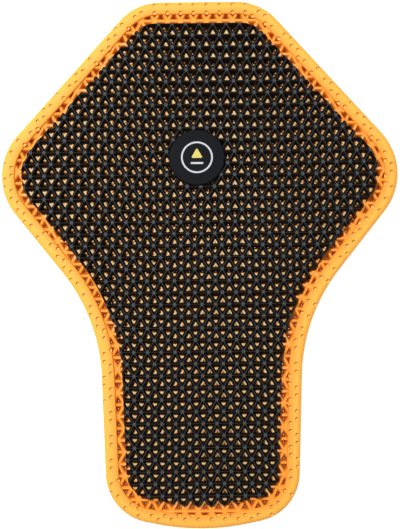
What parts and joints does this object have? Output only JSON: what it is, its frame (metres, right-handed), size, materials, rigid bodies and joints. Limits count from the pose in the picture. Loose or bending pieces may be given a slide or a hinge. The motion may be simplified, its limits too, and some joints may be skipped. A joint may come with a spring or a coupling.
{
  "type": "back protector insert",
  "caption": "Flat back protector insert: a black open triangular grid on a flanged yellow lattice sheet, joined by a round button.",
  "frame": {"origin": "middle of the outline's box, on the underside that is worn against the back", "axes": "+Y along the length towards the neck edge, +X towards the wearer's right shoulder as seen from the outer side, +Z out from the worn side through both sheets"},
  "size_m": [0.3162, 0.4198, 0.0164],
  "materials": {
    "base_elastomer": "satin",
    "grid_elastomer": "satin",
    "button_elastomer": "matte",
    "print_pale": "matte",
    "print_yellow": "matte"
  },
  "bodies": {
    "root": {"base_sheet": "base_elastomer", "outer_sheet": "grid_elastomer", "centre_button": "button_elastomer"}
  },
  "joints": []
}
